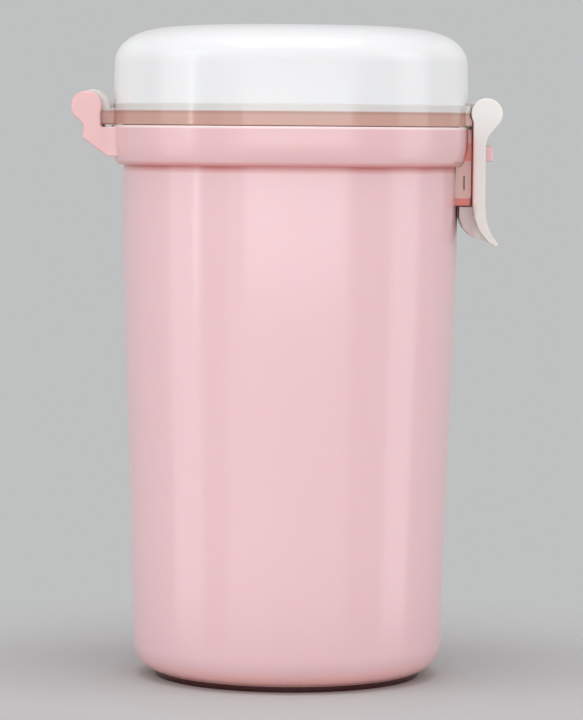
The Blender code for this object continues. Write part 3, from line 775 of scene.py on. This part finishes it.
def make_cross_pin(name, node, body, radius, axis):
    """A straight pin with chamfered ends, lying along X or Y."""
    low, high = frame_box(node)
    length = high.x - low.x if axis == "X" else high.y - low.y
    chamfer = 0.25
    section = [(0.0, 0.0), (radius - chamfer, 0.0), (radius, chamfer)]
    section += [(radius, length - chamfer), (radius - chamfer, length), (0.0, length)]
    pin = lathe(name, section, 48)
    centre = (low + high) / 2.0
    if axis == "X":
        turn = Matrix.Rotation(math.radians(90.0), 4, "Y")
        start = Vector((low.x, centre.y, centre.z))
    else:
        turn = Matrix.Rotation(math.radians(-90.0), 4, "X")
        start = Vector((centre.x, low.y, centre.z))
    pin.data.transform(Matrix.Translation(start * MM) @ turn)
    dress(pin, body, node, STEEL)


# ---------------------------------------------------------------- rotary disc


def make_disc():
    """The rotary disc with its seal groove, spout and the flap's lugs."""
    section = [
        (3.3, DISC_BOTTOM, 0.1),
        (40.9, DISC_BOTTOM, 0.4),
        (40.9, 137.1, 0.15),
        (39.5, 137.1, 0.15),
        (39.5, 139.1, 0.15),
        (40.9, 139.1, 0.15),
        (40.9, 140.2, 0.4),
        (38.2, 140.2, 0.5),
        (37.4, DISC_TOP, 0.6),
        (3.3, DISC_TOP, 0.1),
    ]
    disc = lathe("disc", fillet(section, 5))
    outer = [(-8.5, -31.5, 3.0), (8.5, -31.5, 3.0), (8.5, -18.5, 3.0), (-8.5, -18.5, 3.0)]
    parts = [block("spout", fillet(outer, 8), "Z", 136.9, 146.0, 0.35)]
    lug = [(-19.1, DISC_TOP - 1.0), (-19.1, FLAP_Z - 0.6)]
    lug += arc((FLAP_Y, FLAP_Z), FLAP_KNUCKLE_RADIUS, 180.0, 0.0, 24)
    lug.append((FLAP_Y + FLAP_KNUCKLE_RADIUS, DISC_TOP - 1.0))
    parts += [block("lug", lug, "X", low, low + 2.2, 0.25, 3) for low in (-7.2, 5.0)]
    merge(disc, parts, "UNION")
    inner = [(-7.0, -30.0, 2.0), (7.0, -30.0, 2.0), (7.0, -20.0, 2.0), (-7.0, -20.0, 2.0)]
    pin_hole = hole_outline((FLAP_Y, FLAP_Z), FLAP_HOLE_RADIUS, 24)
    cuts = [
        block("throat", fillet(inner, 8), "Z", 133.0, 150.0, 0.0),
        block("pin_hole", pin_hole, "X", -THROUGH, THROUGH, 0.0),
    ]
    merge(disc, cuts, "DIFFERENCE")
    dress(disc, "disc", "pour_disc", WHITE_TRIM)


def make_disc_seal():
    """The disc's silicone ring, with a soft lip."""
    section = [(39.8, 137.4, 0.1), (40.5, 137.4, 0.2), (41.05, 138.1, 0.3)]
    section += [(40.5, 138.8, 0.2), (39.8, 138.8, 0.1)]
    dress(lathe("disc_ring", fillet(section, 4)), "disc", "disc_seal", SILICONE)


def make_knob():
    """The fluted knob: soft flutes, a rounded top edge and a shallow dish."""
    flutes = 12
    flute_depth = 0.9
    per_flute = 20
    count = flutes * per_flute
    profile = [(11.5, 138.3, 1.0), (11.35, 138.5, 1.0), (11.0, 146.0, 1.0)]
    for step in range(1, 7):
        turn = math.radians(90.0 * step / 6)
        edge = (10.9 - 1.4 * (1.0 - math.cos(turn)), 146.2 + 1.3 * math.sin(turn), math.cos(turn))
        profile.append(edge)
    profile += [(8.6, 147.4, 0.0), (7.6, 146.9, 0.0), (4.0, 146.6, 0.0)]
    mesh_data = bmesh.new()
    rings = []
    for radius, height, depth in profile:
        ring = []
        for step in range(count):
            turn = 2.0 * math.pi * step / count
            reach = radius - flute_depth * depth * (0.5 + 0.5 * math.cos(flutes * turn)) ** 2
            ring.append(mesh_data.verts.new((reach * math.cos(turn), reach * math.sin(turn), height)))
        rings.append(ring)
    for ring, following in zip(rings, rings[1:]):
        for step in range(count):
            after = (step + 1) % count
            mesh_data.faces.new((ring[step], ring[after], following[after], following[step]))
    mesh_data.faces.new(rings[0])
    mesh_data.faces.new(rings[-1])
    knob = object_from("knob", mesh_data)
    hollow = [(0.0, 136.0), (8.6, 136.0), (8.6, 144.6), (7.8, 145.2), (0.0, 145.2)]
    merge(knob, [lathe("hollow", hollow, 96)], "DIFFERENCE")
    dress(knob, "disc", "disc_knob", PINK_TRIM)


def make_flap():
    """The spout's flap, with its knuckle, neck, rounded plate and thumb tab, and the plug under it."""
    plate = fillet([(-8.8, -32.0, 3.2), (8.8, -32.0, 3.2), (8.8, -18.9, 3.2), (-8.8, -18.9, 3.2)], 8)
    flap = block("flap", plate, "Z", 146.3, 148.0, 0.5)
    neck = [(-20.5, 146.6), (-18.4, 146.3)]
    neck += arc((FLAP_Y, FLAP_Z), FLAP_KNUCKLE_RADIUS, 200.0, 430.0, 30)
    neck += [(-17.6, 147.9), (-20.5, 147.7)]
    thumb = fillet([(-4.0, -34.0, 1.2), (4.0, -34.0, 1.2), (4.0, -30.5, 0.0), (-4.0, -30.5, 0.0)], 6)
    parts = [block("neck", neck, "X", -4.6, 4.6, 0.25, 3), block("thumb", thumb, "Z", 146.7, 147.6, 0.3)]
    merge(flap, parts, "UNION")
    pin_hole = hole_outline((FLAP_Y, FLAP_Z), FLAP_HOLE_RADIUS, 24)
    merge(flap, [block("pin_hole", pin_hole, "X", -THROUGH, THROUGH, 0.0)], "DIFFERENCE")
    dress(flap, "flap", "spout_flap", PINK_TRIM)
    plug = fillet([(-6.6, -29.6, 1.8), (6.6, -29.6, 1.8), (6.6, -20.4, 1.8), (-6.6, -20.4, 1.8)], 8)
    dress(block("plug", plug, "Z", 144.4, 146.0, 0.5), "flap", "spout_seal", SILICONE)


# ---------------------------------------------------------------- lid


def make_lid_frame():
    """The clear frame: skirt, plate, sealing spigot, the two lugs and the root behind the latch's lug."""
    section = [
        (44.5, 143.0, 0.25),
        (46.1, 143.0, 0.15),
        (46.1, 148.45, 0.25),
        (44.9, 148.45, 0.2),
        (44.9, 146.5, 0.2),
        (43.0, 146.5, 0.2),
        (43.0, 147.9, 0.2),
        (38.3, 147.9, 0.5),
        (38.3, 141.0, 0.3),
        (40.6, 141.0, 0.3),
        (40.6, 141.5, 0.2),
        (39.8, 141.9, 0.2),
        (39.8, 145.4, 0.2),
        (44.5, 145.4, 0.2),
    ]
    ring = lathe("clear_frame", fillet(section, 5))
    hinge_lug = [(-45.0, 142.9), (-45.0, 147.2), (-46.4, 147.2), (-46.4, 148.4)]
    hinge_lug += [(-47.6, 150.3), (-49.3, 151.6), (-51.2, 152.0)]
    hinge_lug += arc((HINGE_X, HINGE_Z), HEAD_RADIUS, 100.0, 272.0, 36)
    hinge_lug.append((-49.6, 142.9))
    latch_lug = [(45.0, 147.2), (45.0, 142.9), *arc((LATCH_X, LATCH_Z), LATCH_LUG_RADIUS, -110.0, 100.0, 36)]
    latch_lug += [(46.4, 149.2), (46.4, 147.2)]
    latch_root = fillet([
        (44.7, 143.1, 0.0),
        (46.6, 143.1, 0.3),
        (46.6, 144.7, 0.3),
        (46.1, 145.4, 0.3),
        (46.1, 148.3, 0.3),
        (44.7, 148.3, 0.0),
    ])
    parts = [block("lug", lug, "Y", -LUG_HALF_WIDTH, LUG_HALF_WIDTH, 0.4) for lug in (hinge_lug, latch_lug)]
    parts.append(block("latch_root", latch_root, "Y", -10.5, 10.5, 0.25))
    merge(ring, parts, "UNION")
    cuts = []
    for centre in ((HINGE_X, HINGE_Z), (LATCH_X, LATCH_Z)):
        pin_hole = hole_outline(centre, PIN_HOLE_RADIUS, 48)
        cuts.append(block("pin_hole", pin_hole, "Y", -THROUGH, THROUGH, 0.0))
    merge(ring, cuts, "DIFFERENCE")
    dress(ring, "lid", "lid_frame", CLEAR)


def dome(radius, base, rise, steps=44):
    """A squarish dome's profile from its edge to its crown, close-set points round the shoulder."""
    power = 7.0
    crown = 0.6
    points = []
    for step in range(steps, -1, -1):
        turn = math.radians(90.0) * (step / steps) ** 1.6
        share = math.sin(turn) ** (2.0 / power)
        points.append((radius * share, base + rise * math.cos(turn) + crown * (1.0 - share * share)))
    return points


def make_cover():
    """The white cover: soft lower edge, near-vertical side, round shoulder and almost flat top."""
    bottom = COVER_LOW.z + 0.95
    shoulder_z = 158.8
    shoulder_radius = 45.7
    inner = shoulder_radius - 2.2
    corners = [
        (COVER_RADIUS, bottom, 0.2),
        (COVER_RADIUS - 0.05, 152.0, 0.0),
        (COVER_RADIUS - 0.12, 155.5, 0.0),
    ]
    corners += sharp(dome(shoulder_radius, shoulder_z, COVER_TOP - 0.6 - shoulder_z))
    corners += sharp(dome(inner, shoulder_z - 0.4, 7.6, 24)[::-1])
    corners += [(inner, 151.0, 0.3), (43.3, 150.0, 0.2), (43.3, 146.8, 0.2)]
    corners += [(44.6, 146.8, 0.2), (44.6, bottom, 0.1)]
    cover = lathe("cover", without_doubles(fillet(corners, 6)))
    dress(cover, "lid", "lid_cover", WHITE_COVER)


def make_gasket():
    """The lid's silicone ring, with a round lip."""
    section = [(40.1, 142.3, 0.1), (40.8, 142.3, 0.3), (41.2, 142.9, 0.4)]
    section += [(41.2, 144.3, 0.4), (40.8, 145.1, 0.3), (40.1, 145.1, 0.1)]
    dress(lathe("gasket", fillet(section, 5)), "lid", "lid_gasket", SILICONE)


def make_lever():
    """The latch lever: two round knuckles, a plate with a window, a hook and a flared finger tip."""
    end = 180.0 + math.degrees(math.acos((LATCH_X - LEVER_INNER_X) / KNUCKLE_RADIUS))
    corners = [(LEVER_OUTER_X, 139.8, 5.0)]
    corners += sharp(arc((LATCH_X, LATCH_Z), KNUCKLE_RADIUS, -50.0, end, 48))
    corners += [
        (LEVER_INNER_X, 122.6, 4.0),
        (LEVER_INNER_X + 0.5, 119.4, 6.0),
        (LEVER_INNER_X + 1.8, 116.2, 6.0),
        (LEVER_INNER_X + 4.2, 113.3, 3.0),
        (52.7, 112.2, 0.45),
        (53.7, 112.8, 0.45),
        (LEVER_OUTER_X + 1.5, 115.6, 6.0),
        (LEVER_OUTER_X + 0.3, 119.2, 6.0),
        (LEVER_OUTER_X, 123.6, 6.0),
    ]
    lever = block("lever", fillet(corners, 6), "Y", -HALF_WIDTH, HALF_WIDTH, 0.35)
    claw = [(47.7, CLAW_TOP, 0.0), (43.5, CLAW_TOP, 0.25), (43.5, 119.5, 1.5), (44.6, 116.9, 2.5)]
    claw += [(46.4, 115.0, 2.5), (48.6, 114.0, 1.5), (51.2, 113.8, 0.0), (49.6, 116.4, 0.0)]
    merge(lever, [block("claw", fillet(claw), "Y", -CLAW_HALF_WIDTH, CLAW_HALF_WIDTH, 0.2)], "UNION")
    notch = fillet([(40.0, 142.2, 0.0), (60.0, 142.2, 0.0), (60.0, 156.0, 0.0), (40.0, 156.0, 0.0)])
    window = fillet([(-3.5, 132.9, 0.8), (3.5, 132.9, 0.8), (3.5, 139.4, 0.8), (-3.5, 139.4, 0.8)], 5)
    pin_hole = hole_outline((LATCH_X, LATCH_Z), PIN_HOLE_RADIUS, 48)
    cuts = [
        block("notch", notch, "Y", -KNUCKLE_INNER_Y, KNUCKLE_INNER_Y, 0.0),
        block("window", window, "X", 44.0, 56.0, 0.0),
        block("pin_hole", pin_hole, "Y", PIN_HOLE_START, THROUGH, 0.0),
    ]
    merge(lever, cuts, "DIFFERENCE")
    dress(lever, "latch", "latch_lever", WHITE_LEVER)


# ---------------------------------------------------------------- studio


def make_floor():
    """A pale round floor that fades into the backdrop's tone not far from the tub."""
    radius = 900.0
    fade_start = 85.0
    fade_end = 160.0
    mesh_data = bmesh.new()
    bmesh.ops.create_circle(mesh_data, cap_ends=True, radius=radius, segments=96)
    floor = object_from("floor", mesh_data)
    m = Nodes("floor_paper")
    tone = m.blend(m.noise(400.0, 3.0), (0.525, 0.52, 0.52), (0.505, 0.50, 0.50))
    m.link(tone, m.shader.inputs["Base Color"])
    m.set(Roughness=0.75)
    clear = m.add("ShaderNodeBsdfTransparent").outputs["BSDF"]
    reach = m.add("ShaderNodeVectorMath", operation="LENGTH")
    m.link(m.place, reach.inputs[0])
    fade = m.ramp(reach.outputs["Value"], 0.0, 1.0, fade_start * MM, fade_end * MM)
    mixed = m.add("ShaderNodeMixShader")
    m.link(fade, mixed.inputs[0])
    m.link(m.shader.outputs["BSDF"], mixed.inputs[1])
    m.link(clear, mixed.inputs[2])
    m.link(mixed.outputs["Shader"], m.tree.nodes["Material Output"].inputs["Surface"])
    floor.data.materials.append(m.material)


def make_world():
    """The backdrop's even grey."""
    tone = 0.53
    world = bpy.data.worlds.new("studio")
    bpy.context.scene.world = world
    world.use_nodes = True
    back = world.node_tree.nodes["Background"]
    back.inputs["Color"].default_value = (tone * 0.985, tone * 0.995, tone, 1.0)
    back.inputs["Strength"].default_value = 1.0


def soft_light(name, place, target, size, watts):
    """A rectangular softbox at a place, turned towards a target, unseen by the camera. All are in metres."""
    light = bpy.data.lights.new(name, "AREA")
    light.shape = "RECTANGLE"
    light.size, light.size_y = size
    light.energy = watts
    obj = bpy.data.objects.new(name, light)
    obj.location = place
    obj.rotation_euler = (Vector(target) - Vector(place)).to_track_quat("-Z", "Y").to_euler()
    obj.visible_camera = False
    bpy.context.scene.collection.objects.link(obj)


def make_lights():
    """A broad front tent, a low front light, a top light, two side lights and a thin strip on the left."""
    middle_height = (0.0, 0.0, 0.09)
    soft_light("tent", (0.0, -2.2, 0.25), middle_height, (4.2, 2.4), 23.5)
    soft_light("low_front", (0.1, -1.3, 0.10), (0.0, 0.0, 0.04), (1.8, 0.24), 2.9)
    soft_light("overhead", (0.0, -0.12, 0.85), (0.0, 0.0, 0.1), (0.6, 0.45), 2.8)
    soft_light("side_left", (-1.0, -0.25, 0.25), middle_height, (0.5, 1.2), 2.4)
    soft_light("side_right", (1.0, -0.10, 0.25), middle_height, (0.45, 1.2), 2.4)
    soft_light("streak", (-0.91, -0.41, 0.26), middle_height, (0.03, 0.5), 0.35)


def make_camera():
    """A long lens almost level with the collar, turned very slightly on its axis. Its place is in metres."""
    distance = 0.962
    sideways = 0.00065
    height = 0.1429
    lens = 185.0
    down = math.radians(3.62)
    roll = math.radians(0.45)
    camera = bpy.data.cameras.new("camera")
    camera.lens = lens
    camera.sensor_width = 36.0
    camera.clip_start = 0.05
    camera.clip_end = 20.0
    obj = bpy.data.objects.new("camera", camera)
    turn = Matrix.Rotation(math.pi / 2.0 - down, 4, "X") @ Matrix.Rotation(roll, 4, "Z")
    obj.matrix_world = Matrix.Translation((sideways, -distance, height)) @ turn
    bpy.context.scene.collection.objects.link(obj)
    bpy.context.scene.camera = obj


def main():
    make_tub()
    make_collar()
    make_divider()
    make_screw_and_washer()
    make_disc()
    make_disc_seal()
    make_knob()
    make_flap()
    make_lid_frame()
    make_cover()
    make_gasket()
    make_lever()
    make_cross_pin("hinge_rod", "hinge_pin", "container", PIN_RADIUS, "Y")
    make_cross_pin("latch_rod", "latch_pin", "lid", PIN_RADIUS, "Y")
    make_cross_pin("flap_rod", "flap_pin", "disc", FLAP_PIN_RADIUS, "X")
    make_floor()
    make_world()
    make_lights()
    make_camera()
    bpy.context.scene.view_settings.view_transform = "Standard"
    bpy.context.scene.view_settings.look = "None"


main()
